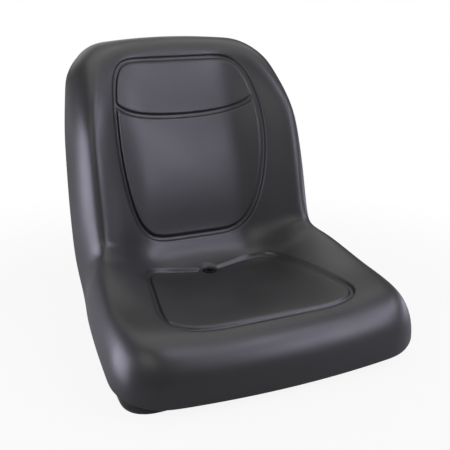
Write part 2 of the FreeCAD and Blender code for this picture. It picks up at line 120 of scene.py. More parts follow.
@dataclass(frozen=True)
class MiddleLine:
    """Middle line of the seating surface: a seat arc, a bend arc and a back arc, end to end."""

    seat: Arc = Arc(0.2645, 5.1, -7.1)
    bend: Arc = Arc(0.097, -7.1, 77.5)
    back: Arc = Arc(0.338, 77.5, 64.3)
    front_reach: float = 0.1641
    front_height: float = 0.093
    lean_spread: float = 0.06
    lean_samples: int = 9

    @property
    def seat_end(self) -> float:
        """Distance along the line where the seat arc ends."""
        return self.seat.length

    @property
    def bend_end(self) -> float:
        """Distance along the line where the bend arc ends."""
        return self.seat.length + self.bend.length

    @property
    def length(self) -> float:
        """Whole length of the line."""
        return self.bend_end + self.back.length

    def at(self, along: Array) -> Arrays:
        """Point and slope of the line: the sum of each arc's chord up to the place.

        Args:
            along: distances along the line from its front end.

        Returns:
            Arrays of y, z and slope in radians.
        """
        along = np.asarray(along, float)
        y = np.full_like(along, -self.front_reach)
        z = np.full_like(along, self.front_height)
        slope = np.full_like(along, math.radians(self.seat.start_slope))
        begun = 0.0
        for arc in (self.seat, self.bend, self.back):
            start = math.radians(arc.start_slope)
            turn = math.radians(arc.end_slope - arc.start_slope) / arc.length
            step = np.clip(along - begun, 0.0, arc.length)
            y = y + (np.sin(start + turn * step) - math.sin(start)) / turn
            z = z + (math.cos(start) - np.cos(start + turn * step)) / turn
            slope = slope + turn * step
            begun += arc.length
        return y, z, slope

    def lean(self, along: Array) -> Array:
        """Way that raised points lean: the mean slope over a distance to both sides."""
        steps = self.lean_spread * np.linspace(-1.0, 1.0, self.lean_samples)
        return self.at(np.clip(along[..., None] + steps, 0.0, self.length))[2].mean(-1)

    def lifted(self, across: Array, along: Array, height: Array) -> Array:
        """Points over the line: a height off it, square to it below and by its mean slope above.

        Args:
            across: distances from the mirror plane.
            along: distances along the line.
            height: heights square to the line.

        Returns:
            Points, with x, y and z on the last axis.
        """
        y, z, slope = self.at(along)
        way = np.where(height > 0, self.lean(along), slope)
        return np.stack([across + 0.0 * y, y - np.sin(way) * height, z + np.cos(way) * height], -1)


@dataclass(frozen=True)
class Stations:
    """Sizes at seven places from the front edge to the top of the back.

    The shares place the stations: three on the seat arc, one on the bend and three on the back.
    """

    seat_shares: Triple = (0.0, 0.5, 0.95)
    bend_share: float = 0.5
    back_shares: Triple = (0.12, 0.5, 1.0)
    half_width: Row = (0.2530, 0.2395, 0.2195, 0.2035, 0.2050, 0.2000, 0.1700)
    bolster: Row = (0.0035, 0.0140, 0.0520, 0.0680, 0.0610, 0.0590, 0.0065)
    rim_drop: Row = (0.0820, 0.0550, 0.0360, 0.0270, 0.0215, 0.0210, 0.0460)
    edge_round: Row = (0.0745, 0.0330, 0.0320, 0.0290, 0.0380, 0.0330, 0.0580)

    def places(self, line: MiddleLine) -> Array:
        """Distances of the stations along a line: the start of an arc plus a share of its length.

        Args:
            line: the middle line.

        Returns:
            Seven distances.
        """
        on_seat = [share * line.seat_end for share in self.seat_shares]
        on_bend = line.seat_end + self.bend_share * line.bend.length
        on_back = [line.bend_end + share * line.back.length for share in self.back_shares]
        return np.array([*on_seat, on_bend, *on_back])


class StationCurve:
    """Smooth curve without overshoot through one kind of station size."""

    def __init__(self, places: Array, values: Row) -> None:
        """Work out the slopes: the weighted harmonic mean of the two neighbouring rises.

        Args:
            places: distances of the stations along the middle line.
            values: the size at each station.
        """
        self.places = places
        self.values = np.array(values)
        self.steps = np.diff(self.places)
        self.rises = np.diff(self.values) / self.steps
        before = 2 * self.steps[1:] + self.steps[:-1]
        after = self.steps[1:] + 2 * self.steps[:-1]
        same_way = self.rises[:-1] * self.rises[1:] > 0
        former = np.where(same_way, self.rises[:-1], 1.0)
        latter = np.where(same_way, self.rises[1:], 1.0)
        mean = (before + after) / (before / former + after / latter)
        inner = np.where(same_way, mean, 0.0)
        self.slopes = np.concatenate([self.rises[:1], inner, self.rises[-1:]])

    def __call__(self, along: Array) -> Array:
        """Size at places along the line: a straight rise and a cubic bulge between two stations.

        Args:
            along: distances along the line.

        Returns:
            The size at each place.
        """
        along = np.clip(along, 0.0, self.places[-1])
        last = len(self.steps) - 1
        i = np.clip(np.searchsorted(self.places, along, side="left") - 1, 0, last)
        part = (along - self.places[i]) / self.steps[i]
        start_bulge = (1 - part) * (self.slopes[i] - self.rises[i])
        end_bulge = part * (self.slopes[i + 1] - self.rises[i])
        straight = self.values[i] + (self.values[i + 1] - self.values[i]) * part
        return straight + part * (1 - part) * self.steps[i] * (start_bulge - end_bulge)


@dataclass
class Places:
    """Places over the outline: across, along, how far out (1 at the edge), and the way out."""

    across: Array
    along: Array
    out: Array
    out_across: Array
    out_along: Array

    def moved_in(self, distance: float | Array) -> tuple[Array, Array]:
        """Across and along of the places, moved inwards by a distance."""
        return self.across - self.out_across * distance, self.along - self.out_along * distance

    def padded(self, wide: int) -> "Places":
        """The same grid with its edge repeated outwards."""
        return Places(*(np.pad(getattr(self, f.name), wide, mode="edge") for f in fields(self)))


def loop_of(values: Array) -> Array:
    """The edge of a grid of values as one loop, without repeats."""
    return np.concatenate([values[0, :-1], values[:-1, -1], values[-1, :0:-1], values[:0:-1, 0]])


def blend_weights(count: int, at: Array) -> Array:
    """Weights of a row of control points along a cubic spline that is held at both ends.

    The weights grow degree by degree: each is the former weight, rising over its own knots, plus
    the next former weight, falling over its own knots.

    Args:
        count: number of control points.
        at: places along the spline, from 0 to the number of its spans.

    Returns:
        One row of weights for each place.
    """
    spans = count - CUBIC
    knots = np.concatenate([np.zeros(CUBIC), np.arange(spans + 1.0), np.full(CUBIC, spans)])
    place = np.minimum(at, spans - SPAN_END)[:, None]
    weights = ((knots[:-1] <= place) & (place < knots[1:])).astype(float)
    for degree in range(1, CUBIC + 1):
        low, high = knots[: -degree - 1], knots[degree + 1 :]
        rising = (place - low) / np.maximum(knots[degree:-1] - low, TINY)
        falling = (high - place) / np.maximum(high - knots[1:-degree], TINY)
        weights = rising * weights[:, :-1] + falling * weights[:, 1:]
    return weights


@dataclass
class SeatForm:
    """Shape of the cushion over the middle line: its outline, bolsters and rounded edges."""

    line: MiddleLine = MiddleLine()
    stations: Stations = Stations()
    front_bow: float = 0.019
    top_bow: float = 0.016
    edge_power: float = 2.2
    edge_roll: float = 0.005
    bolster_start: float = 0.33
    bolster_end: float = 0.93
    back_dish: float = 0.35
    bow_reach: float = 0.45
    band_rows: int = 7
    roll_rows: int = 2
    inner_columns: int = 9
    inner_rows: int = 24

    def __post_init__(self) -> None:
        """Make the curves through the stations."""
        places = self.stations.places(self.line)
        self.half_width = StationCurve(places, self.stations.half_width)
        self.bolster = StationCurve(places, self.stations.bolster)
        self.rim_drop = StationCurve(places, self.stations.rim_drop)
        self.edge_round = StationCurve(places, self.stations.edge_round)

    def lift(self, across: Array, along: Array) -> Array:
        """Height of the bolsters: a smooth rise, with a shallow dish between them on the back.

        Args:
            across: distances from the mirror plane.
            along: distances along the middle line.

        Returns:
            The height at each place.
        """
        share = np.abs(across) / self.half_width(along)
        rise = smooth_rise((share - self.bolster_start) / (self.bolster_end - self.bolster_start))
        dish = self.back_dish * smooth_rise((along - self.line.seat_end) / self.line.bend.length)
        bowl = np.minimum(share / self.bolster_end, 1.0) ** 2
        return self.bolster(along) * (dish * bowl + (1 - dish) * rise)

    def places(
        self,
        columns: tuple[Array, Array],
        rows: Arrays,
        inset: float = 0.0,
        front_band: float | None = None,
        front_bow: float | None = None,
    ) -> Places:
        """Places over the outline: the corners of the grid are drawn from squares to quarter discs.

        Within the edge bands, a place's two shares a and b become a * sqrt(1 - b^2 / 2) and
        b * sqrt(1 - a^2 / 2), and the ends are bowed by the square of the share across.

        Args:
            columns: inner share from -1 to 1, and share of the side band from 0 to 1.
            rows: inner share from 0 to 1, and shares of the front and the top band.
            inset: distance of this outline inside the cushion's own one.
            front_band: depth of the front band, the front edge's rounding when left out.
            front_bow: bow of the front edge, the cushion's own when left out.

        Returns:
            The places, as grids of rows by columns.
        """
        inner, side_share = columns[0][None, :], columns[1][None, :]
        row, front_share, top_share = (r[:, None] for r in rows)
        bow = self.front_bow if front_bow is None else front_bow
        band_front = self.stations.edge_round[0] - inset if front_band is None else front_band
        band_top = self.stations.edge_round[-1] - inset
        front = inset + self.front_bow - bow
        start = front + band_front
        end = self.line.length - inset - band_top
        raw = start + (end - start) * row - band_front * front_share + band_top * top_share
        end_share = np.maximum(front_share, top_share)
        wide = self.half_width(raw) - inset
        band = self.edge_round(raw) - inset
        side = np.where(inner < 0, -1.0, 1.0)
        far_side = side_share * np.sqrt(1 - end_share**2 / 2)
        far_end = end_share * np.sqrt(1 - side_share**2 / 2)
        across = inner * (wide - band) + side * band * far_side
        is_front = raw < self.line.length / 2
        inward = np.where(is_front, 1.0, -1.0)
        end_band = np.where(is_front, band_front, band_top)
        reach = np.where(is_front, raw, self.line.length - raw)
        fade = ease(1 - reach / (self.bow_reach * self.line.length))
        bowed = np.where(is_front, bow, self.top_bow) * (across / wide) ** 2 * fade
        along = raw + inward * (end_band * (end_share - far_end) + bowed)
        out = np.minimum(np.hypot(far_side, far_end), 1.0)
        safe = np.where(out > 0, out, 1.0)
        return Places(across, along, out, side * far_side / safe, -inward * far_end / safe)

    def net(
        self,
        band_rows: int,
        inset: float = 0.0,
        front_band: float | None = None,
        front_bow: float | None = None,
    ) -> Places:
        """Control places: even in the middle, by the sine of an angle in the edge bands.

        Args:
            band_rows: number of rows in each edge band.
            inset: distance of the outline inside the cushion's own one.
            front_band: depth of the front band.
            front_bow: bow of the front edge.

        Returns:
            The places, as grids of rows by columns.
        """
        band = np.sin(math.pi / 2 * np.arange(1, band_rows + 1) / band_rows)
        none, whole = np.zeros(band_rows), np.ones(band_rows)
        half = np.concatenate([np.linspace(0.0, 1.0, self.inner_columns), whole])
        half_band = np.concatenate([np.zeros(self.inner_columns), band])
        columns = (
            np.concatenate([-half[:0:-1], half]),
            np.concatenate([half_band[:0:-1], half_band]),
        )
        middle = np.linspace(0.0, 1.0, self.inner_rows)
        rows = (
            np.concatenate([none, middle, whole]),
            np.concatenate([band[::-1], 0 * middle, none]),
            np.concatenate([none, 0 * middle, band]),
        )
        return self.places(columns, rows, inset, front_band, front_bow)

    def skin_poles(self) -> tuple[Array, Places]:
        """Control points of the skin, with more rows round the edge for the rolled rim.

        Returns:
            The grid of points and the places that they stand on.
        """
        net = self.net(self.band_rows - self.roll_rows)
        wide = self.roll_rows
        ring = np.pad(np.zeros(net.out.shape), wide, mode="linear_ramp", end_values=wide)
        spread = net.padded(wide)
        across, along = spread.moved_in(self.edge_roll * np.maximum(ring - 1, 0.0))
        over = self.skin_height(spread.across, spread.along, spread.out)
        height = np.where(ring > 0, -self.rim_drop(spread.along), over)
        return self.line.lifted(across, along, height), spread

    def skin_height(self, across: Array, along: Array, out: Array) -> Array:
        """Height of the skin: bolster and wall below it, rounded off as (1 - out^p)^(1/p).

        Args:
            across: distances from the mirror plane.
            along: distances along the middle line.
            out: how far out in the edge band each place is.

        Returns:
            The height at each place.
        """
        wall = self.rim_drop(along) - self.edge_roll
        section = np.maximum(1 - out**self.edge_power, 0.0) ** (1 / self.edge_power)
        return (self.lift(across, along) + wall) * section - wall


@dataclass(frozen=True)
class PanelOutline:
    """Figure between an ellipse and a rectangle, tapered, with a notch in its upper edge.

    A point's share up is t, and its share across is divided by 1 + taper * t + belly * t^2. The
    figure is where (share across)^n + |t|^n is 1, with one power n for the upper and one for the
    lower half.
    """

    half_across: float
    half_up: float
    upper_power: float
    lower_power: float
    taper: float
    belly: float
    notch: float = 0.0
    notch_width: float = 1.0
    notch_rounds: int = 4
    notch_limit: float = 1.2
    least_width: float = 0.2
    far_share: float = 4.0

    def value(self, across: Array, up: Array) -> Array:
        """Value of the figure; the notch is found in rounds, from the share up of the last one.

        Args:
            across: distances from the mirror plane.
            up: heights over the figure's middle.

        Returns:
            Below 0 inside the figure, 0 on it and above 0 outside it.
        """
        dent = self.notch * np.exp(-((across / self.notch_width) ** 2))
        t = up / self.half_up
        for _ in range(self.notch_rounds):
            t = (up + dent * np.clip(t, 0.0, self.notch_limit) ** 2) / self.half_up
        tapered = np.maximum(1 + self.taper * t + self.belly * t * t, self.least_width)
        power = np.where(t > 0, self.upper_power, self.lower_power)
        share_across = np.minimum(np.abs(across) / (self.half_across * tapered), self.far_share)
        share_up = np.minimum(np.abs(t), self.far_share)
        return (share_across**power + share_up**power) ** (1 / power) - 1


@dataclass(frozen=True)
class HeadArc:
    """Sagging line between head and back panel: the lower half of a squarish ellipse."""

    half_across: float = 0.124
    end_up: float = 0.222
    sag: float = 0.0305
    power: float = 2.27
    far_share_across: float = 4.0
    far_share_up: float = 40.0

    def value(self, across: Array, up: Array) -> Array:
        """Value of the line: (share across^p + share down^p)^(1/p) - 1.

        Args:
            across: distances from the mirror plane.
            up: heights in the plane of the back panel.

        Returns:
            Below 0 above the line, 0 on it and above 0 below it.
        """
        share_across = np.minimum(np.abs(across) / self.half_across, self.far_share_across)
        share_up = np.minimum(np.maximum(self.end_up - up, HAIR) / self.sag, self.far_share_up)
        return (share_across**self.power + share_up**self.power) ** (1 / self.power) - 1


def distance_to(outline: PanelOutline | HeadArc, across: Array, up: Array) -> Arrays:
    """Signed distance to an outline: its value over the length of the value's slope.

    Args:
        outline: the outline.
        across: distances from the mirror plane.
        up: heights in the plane of the outline.

    Returns:
        The distance, and the two parts of the way away from the outline.
    """
    step = SLOPE_STEP
    value = outline.value(across, up)
    rise_across = outline.value(across + step, up) - outline.value(across - step, up)
    rise_up = outline.value(across, up + step) - outline.value(across, up - step)
    slope_across, slope_up = rise_across / (2 * step), rise_up / (2 * step)
    length = np.maximum(np.hypot(slope_across, slope_up), HAIR)
    return value / length, slope_across / length, slope_up / length


@dataclass(frozen=True)
class GrooveProfile:
    """Section of a sunk groove, from its middle outwards: floor, S-shaped wall and skin."""

    depth: float = 0.0043
    floor_half: float = 0.0025
    top_half: float = 0.0052
    reach: float = 0.0095
    wall_weight: float = 2.0
    samples: int = 160

    def carry(self, distance: Array) -> tuple[Array, Array]:
        """Spread places over the section by its own length, with more of them on the wall.

        Args:
            distance: distances from the groove's middle line, of either sign.

        Returns:
            The new distance and the depth at each place.
        """
        x = np.linspace(0.0, self.reach, self.samples)
        wall = (x - self.floor_half) / (self.top_half - self.floor_half)
        depth = self.depth * (1 - ease(wall))
        on_wall = (wall[1:] > 0) & (wall[:-1] < 1)
        lengths = np.hypot(np.diff(x), np.diff(depth)) * np.where(on_wall, self.wall_weight, 1.0)
        run = np.concatenate([[0.0], np.cumsum(lengths)])
        near = np.minimum(np.abs(distance), self.reach) / self.reach * run[-1]
        inside = np.abs(distance) < self.reach
        moved = np.where(inside, np.sign(distance) * np.interp(near, run, x), distance)
        return moved, np.where(inside, np.interp(near, run, depth), 0.0)


@dataclass(frozen=True)
class DrainPocket:
    """Round pocket of the drain sleeve: a dish, a seat for its flange and a well for its tube.

    The four rows give, from the middle outwards, where a place starts, where it goes, and how much
    of the way down it is drawn to the pocket's seat and to the floor of its well.
    """

    place_y: float = 0.1184
    seat_height: float = 0.0861
    well_depth: float = 0.058
    from_r: Row = (0.0, 0.0022, 0.0034, 0.0050, 0.0080, 0.0092, 0.0104, 0.0120, 0.0160)
    to_r: Row = (0.0, 0.0062, 0.0067, 0.00685, 0.01075, 0.01095, 0.0113, 0.0124, 0.0160)
    drawn: Row = (1.0, 1.0, 1.0, 1.0, 1.0, 0.75, 0.25, 0.03, 0.0)
    well: Row = (1.0, 1.0, 0.9, 0.0, 0.0, 0.0, 0.0, 0.0, 0.0)
    dish_depth: float = 0.0022
    dish_r: float = 0.017
    least_r: float = 1e-7

    def radius(self, points: Array) -> tuple[Array, Array]:
        """Distance of each point from the drain's axis, and its distance along Y."""
        dy = points[..., 1] - self.place_y
        return np.hypot(points[..., 0], dy), dy

    def pull(self, r: Array) -> Array:
        """Share by which places are drawn to their rings: the new radius over the old, less 1."""
        return np.interp(r, self.from_r, self.to_r) / np.maximum(r, self.least_r) - 1

    def press(self, points: Array, r: Array) -> Array:
        """Press the pocket into points: a bell-shaped dish, then the sleeve's seat and the well.

        Args:
            points: points of the skin, already drawn to the pocket's rings.
            r: their radius before they were drawn to the rings.

        Returns:
            The pressed points.
        """
        z = points[..., 2] - self.dish_depth * np.exp(-((r / self.dish_r) ** 2))
        share = np.interp(r, self.from_r, self.drawn)
        sunk = self.well_depth * np.interp(r, self.from_r, self.well)
        z = z + (self.seat_height - z) * share - sunk
        return np.concatenate([points[..., :2], z[..., None]], -1)


@dataclass
class Cushion:
    """Moulded cushion: skin with sunk grooves, rolled rim and an underside that fits the pan."""

    form: SeatForm = field(default_factory=SeatForm)
    seat_panel: PanelOutline = PanelOutline(
        half_across=0.1385, half_up=0.1145, upper_power=8.0, lower_power=4.9,
        taper=-0.22, belly=-0.02, notch=0.0135, notch_width=0.0555,
    )
    seat_panel_middle: float = 0.0174
    back_panel: PanelOutline = PanelOutline(
        half_across=0.1275, half_up=0.147, upper_power=8.3, lower_power=6.3,
        taper=0.05, belly=-0.21,
    )
    back_panel_middle: float = 0.1405
    back_panel_crown: float = 0.006
    crown_power: int = 6
    panel_border: float = 0.5
    head_arc: HeadArc = HeadArc()
    groove: GrooveProfile = GrooveProfile()
    drain: DrainPocket = DrainPocket()
    edge_spans: int = 6
    inner_samples: int = 15
    front_samples: int = 11
    top_samples: int = 9
    side_samples: int = 8
    pan_inset: float = 0.0065
    pan_front_corner: float = 0.040
    pan_front_hollow: float = 0.006
    pan_back_depth: float = 0.054
    lip_gap: float = 0.0003
    over_pan: float = 0.003
    inside_pan: float = 0.032
    foam_clear: float = 0.015
    pan_bend_blend: float = 0.03
    least_cosine: float = 0.05
    inner_rings: int = 10
    fall_rate: float = 4.0

    def __post_init__(self) -> None:
        """Work out the weights that blend control points into the rows and columns of the mesh."""
        form = self.form
        row_count = form.inner_rows + 2 * form.band_rows
        column_count = 2 * (form.inner_columns + form.band_rows) - 1
        row_places = self.spread(row_count, self.front_samples, self.top_samples)
        column_places = self.spread(column_count, self.side_samples, self.side_samples)
        self.row_weights = blend_weights(row_count, row_places)
        self.column_weights = blend_weights(column_count, column_places)

    def spread(self, count: int, first: int, last: int) -> Array:
        """Places along a spline: a number of steps in each span of its edges and of its middle.

        Args:
            count: number of control points.
            first: steps in each span of the first edge.
            last: steps in each span of the last edge.

        Returns:
            The places, from 0 to the number of spans.
        """
        edge, spans = self.edge_spans, count - CUBIC
        return np.concatenate(
            [
                np.linspace(0, edge, edge * first + 1),
                np.linspace(edge, spans - edge, (spans - 2 * edge) * self.inner_samples + 1)[1:],
                np.linspace(spans - edge, spans, edge * last + 1)[1:],
            ]
        )

    def blended(self, control: Array) -> Array:
        """Values drawn by a grid of control values: its row weights times its column weights."""
        along = np.tensordot(self.row_weights, control, (1, 0))
        return np.moveaxis(np.tensordot(self.column_weights, along, (1, 1)), 0, 1)

    def back_plane(self) -> Arrays:
        """Plane of the back panel, at the mean slope of the back arc.

        Returns:
            A point of the plane, the way up in it and its outward normal.
        """
        line = self.form.line
        y, z, _ = line.at(np.array(line.bend_end))
        lean = math.radians((line.back.start_slope + line.back.end_slope) / 2)
        origin = np.array([0.0, float(y), float(z)])
        up = np.array([0.0, math.cos(lean), math.sin(lean)])
        return origin, up, np.array([0.0, -math.sin(lean), math.cos(lean)])

    def back_distance(self, across: Array, up: Array) -> Arrays:
        """Distance to the nearer of the back panel's outline and the head arc inside it.

        Args:
            across: distances from the mirror plane.
            up: heights in the plane of the back panel.

        Returns:
            The distance, and the two parts of the way away from the nearer line.
        """
        ring = distance_to(self.back_panel, across, up - self.back_panel_middle)
        arc = distance_to(self.head_arc, across, up)
        nearer = (np.abs(arc[0]) < np.abs(ring[0])) & (ring[0] < 0) & (up < self.head_arc.end_up)
        return tuple(np.where(nearer, a, r) for a, r in zip(arc, ring))

    def crown(self, across: Array, up: Array) -> Array:
        """Crown of the back panel: its height times (1 - ring^6) times (1 - share up^2).

        Args:
            across: distances from the mirror plane.
            up: heights in the plane of the back panel.

        Returns:
            The height at each place, 0 on the panel's outline and outside it.
        """
        height = up - self.back_panel_middle
        ring = np.minimum(self.back_panel.value(across, height) + 1, 1.0)
        fall = 1 - (height / self.back_panel.half_up) ** 2
        return self.back_panel_crown * (1 - ring**self.crown_power) * fall

    def skin(self) -> Array:
        """Points of the skin: the plain form, then the grooves, the crown and the drain pocket.

        Places near a groove are first shifted within the plane that touches the surface there, so
        that rows of points lie along its walls; then they are sunk by the groove's depth.

        Returns:
            The grid of points.
        """
        line = self.form.line
        poles, spread = self.form.skin_poles()
        plain = self.blended(poles)
        along = self.blended(spread.along)
        facing = np.cross(np.gradient(plain, axis=1), np.gradient(plain, axis=0))
        origin, up_way, normal = self.back_plane()
        on_seat = along < line.seat_end + self.panel_border * line.bend.length

        x, y = plain[..., 0], plain[..., 1]
        up = (plain - origin) @ up_way
        seat = distance_to(self.seat_panel, x, y - self.seat_panel_middle)
        back = self.back_distance(x, up)
        distance, away_across, away_up = (np.where(on_seat, s, b) for s, b in zip(seat, back))
        moved, depth = self.groove.carry(distance)
        shift_across = (moved - distance) * away_across
        shift_up = (moved - distance) * away_up

        near_r, dy = self.drain.radius(plain)
        pull = self.drain.pull(near_r)
        near = (near_r < self.drain.from_r[-1]) & on_seat
        shift_across = np.where(near, pull * x, shift_across)
        shift_up = np.where(near, pull * dy, shift_up)

        panel_up = np.where(on_seat[..., None], Y_AXIS, up_way)
        sink = np.where(on_seat[..., None], -Z_AXIS, -normal)
        shift = shift_across[..., None] * X_AXIS + shift_up[..., None] * panel_up
        facing_sink = (facing * sink).sum(-1)
        safe_sink = np.where(np.abs(facing_sink) > TINY, facing_sink, TINY)
        lean = (facing * shift).sum(-1) / safe_sink
        touched = depth + np.abs(shift_across) + np.abs(shift_up) > 0
        down = np.where(touched, np.where(near, 0.0, depth) - lean, 0.0)
        down = down - np.where(on_seat, 0.0, self.crown(x, up))
        points = plain + shift + down[..., None] * sink
        return np.where(near[..., None], self.drain.press(points, near_r), points)

    def floor_depth(self, along: Array) -> Array:
        """Depth of the pan under the middle line: the nearer of its floor and of its back sheet.

        The two are blended in the bend: -k * log(exp(-a / k) + exp(-b / k)).

        Args:
            along: distances along the middle line.

        Returns:
            The depth at each place.
        """
        line = self.form.line
        y, z, slope = line.at(along)
        yb, zb, lean = (float(v) for v in line.at(np.array(line.bend_end)))
        under = z / np.maximum(np.cos(slope), self.least_cosine)
        towards = np.maximum(np.cos(slope - lean), self.least_cosine)
        off_back = (yb - y) * math.sin(lean) - (zb - z) * math.cos(lean)
        behind = (off_back + self.pan_back_depth) / towards
        blend = self.pan_bend_blend
        nearer = -blend * np.logaddexp(-under / blend, -behind / blend)
        return np.where(along < line.bend_end, nearer, self.pan_back_depth)

    def rim_and_underside(self) -> list[Array]:
        """Rings below the skin: the lip over the pan's edge and the foam that lies in the pan.

        Returns:
            Loops of points, from the rim inwards.
        """
        form = self.form
        hollow = -self.pan_front_hollow
        net = form.net(form.band_rows, self.pan_inset, self.pan_front_corner, hollow)
        lip = (
            (-self.lip_gap, 0.0),
            (-self.lip_gap, self.over_pan),
            (self.inside_pan, self.over_pan),
        )
        rings = []
        for inset, rise in lip:
            across, along = net.moved_in(inset)
            points = form.line.lifted(across, along, rise - form.rim_drop(along))
            rings.append(loop_of(self.blended(points)))
        across, along = (loop_of(self.blended(v)) for v in net.moved_in(self.inside_pan))
        middle = 0.5 * form.line.length
        for share in np.linspace(1.0, 0.0, self.inner_rings + 1)[1:-1]:
            place = middle + (along - middle) * share
            drop = form.rim_drop(place) - self.over_pan
            deep = np.maximum(self.floor_depth(place) - self.foam_clear - drop, 0.0)
            fall = deep * ease((1 - share) * self.fall_rate)
            rings.append(form.line.lifted(across * share, place, -drop - fall))
        return rings

    def mesh(self) -> bpy.types.Mesh:
        """The closed mesh: skin grid, rings below it and a point that closes the underside.

        Returns:
            The mesh, with smooth faces.
        """
        points = self.skin()
        rings = self.rim_and_underside()
        row_count, column_count = points.shape[:2]
        number = np.arange(row_count * column_count).reshape(row_count, column_count)
        around = [number[:-1, :-1], number[:-1, 1:], number[1:, 1:], number[1:, :-1]]
        quads = np.stack(around, -1).reshape(-1, 4)
        edge = loop_of(number)
        below = number.size + np.arange(len(rings) * len(edge)).reshape(len(rings), len(edge))
        loops = np.concatenate([edge[None], below])
        following = np.roll(loops, -1, axis=1)
        sides = [loops[:-1], loops[1:], following[1:], following[:-1]]
        bands = np.stack(sides, -1).reshape(-1, 4)
        last_point = np.full(len(edge), number.size + below.size)
        closing = np.stack([loops[-1], last_point, following[-1]], -1)
        vertices = np.concatenate([points.reshape(-1, 3), *rings, rings[-1].mean(axis=0)[None]])

        mesh = bpy.data.meshes.new("seat_cushion_skin")
        mesh.vertices.add(len(vertices))
        mesh.vertices.foreach_set("co", vertices.astype(np.float32).ravel())
        corners = np.concatenate([quads.ravel(), bands.ravel(), closing.ravel()])
        sizes = np.concatenate([np.full(len(quads) + len(bands), 4), np.full(len(closing), 3)])
        mesh.loops.add(len(corners))
        mesh.loops.foreach_set("vertex_index", corners.astype(np.int32))
        mesh.polygons.add(len(sizes))
        starts = np.concatenate([[0], np.cumsum(sizes)[:-1]])
        mesh.polygons.foreach_set("loop_start", starts.astype(np.int32))
        mesh.polygons.foreach_set("use_smooth", np.ones(len(sizes), bool))
        mesh.update(calc_edges=True)
        mesh.validate()
        return mesh

    def build(self, finish: "Finish") -> bpy.types.Object:
        """Make the cushion, dress it and set it in the place of its solid.

        Args:
            finish: the vinyl.

        Returns:
            The cushion's object.
        """
        cushion = bpy.data.objects.new("cushion_skin", self.mesh())
        bpy.context.scene.collection.objects.link(cushion)
        cushion.data.materials.append(finish.material())
        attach(cushion, "root")
        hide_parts(Node.CUSHION.value)
        return cushion


class Nodes:
    """Short hand for the nodes and links of one tree."""

    def __init__(self, tree: bpy.types.NodeTree) -> None:
        """Keep the tree and empty it."""
        self.tree = tree
        tree.nodes.clear()

    @staticmethod
    def socket(node: bpy.types.Node, name: str) -> Socket:
        """An input of a node by its name, with _ for spaces, or by i and its number."""
        if name[:1] == "i" and name[1:].isdigit():
            return node.inputs[int(name[1:])]
        return node.inputs[name.replace("_", " ")]

    def add(self, kind: str, **values: object) -> bpy.types.Node:
        """A node with its properties and inputs set.

        Args:
            kind: Blender's name of the node type.
            values: property values, input values or output sockets to link to an input.

        Returns:
            The node.
        """
        node = self.tree.nodes.new(kind)
        for name, value in values.items():
            if name in node.bl_rna.properties:
                setattr(node, name, value)
            elif isinstance(value, Socket):
                self.tree.links.new(value, self.socket(node, name))
            else:
                self.socket(node, name).default_value = value
        return node

    def math(self, operation: str, *given: object) -> Socket:
        """Result of a Math node on numbers or sockets."""
        inputs = {f"i{number}": value for number, value in enumerate(given)}
        return self.add("ShaderNodeMath", operation=operation, **inputs).outputs[0]

    def mapped(self, value: Socket, given: Pair, wanted: Pair, kind: str = "LINEAR") -> Socket:
        """A value carried from one range to another, evenly or by another kind of rise."""
        ends = dict(zip(("From_Min", "From_Max", "To_Min", "To_Max"), (*given, *wanted)))
        node = self.add("ShaderNodeMapRange", interpolation_type=kind, Value=value, **ends)
        return node.outputs[0]


@dataclass(frozen=True)
class PebbleGrain:
    """Shared surface effect: a pebbled grain and a broad, soft variation over the surface."""

    group_name: str = "pebble_grain"
    pebble_limits: Pair = (1.0, 5000.0)
    patch_limits: Pair = (0.1, 500.0)
    pebble_softness: float = 0.6
    fine_share: float = 0.5
    fine_detail: float = 3.0
    fine_roughness: float = 0.6
    patch_detail: float = 4.0
    patch_roughness: float = 0.55

    def group(self) -> bpy.types.NodeTree:
        """The node group, made once: pebbles plus a share of fine noise, and broad noise.

        Returns:
            The group, with the outputs Height and Patches.
        """
        known = bpy.data.node_groups.get(self.group_name)
        if known:
            return known
        group = bpy.data.node_groups.new(self.group_name, "ShaderNodeTree")
        nodes = Nodes(group)
        limits = {"Pebble Scale": self.pebble_limits, "Patch Scale": self.patch_limits}
        for name, (low, high) in limits.items():
            socket = group.interface.new_socket(name, in_out="INPUT", socket_type="NodeSocketFloat")
            socket.min_value, socket.max_value = low, high
        for name in ("Height", "Patches"):
            group.interface.new_socket(name, in_out="OUTPUT", socket_type="NodeSocketFloat")
        given = nodes.add("NodeGroupInput").outputs
        place = nodes.add("ShaderNodeTexCoord").outputs["Object"]
        pebbles = nodes.add(
            "ShaderNodeTexVoronoi",
            feature="SMOOTH_F1",
            Vector=place,
            Scale=given["Pebble Scale"],
            Smoothness=self.pebble_softness,
        ).outputs["Distance"]
        fine, broad = (
            nodes.add(
                "ShaderNodeTexNoise",
                Vector=place,
                Scale=given[scale],
                Detail=detail,
                Roughness=rough,
            ).outputs["Fac"]
            for scale, detail, rough in (
                ("Pebble Scale", self.fine_detail, self.fine_roughness),
                ("Patch Scale", self.patch_detail, self.patch_roughness),
            )
        )
        height = nodes.math("MULTIPLY_ADD", fine, self.fine_share, pebbles)
        nodes.add("NodeGroupOutput", Height=height, Patches=broad)
        return group


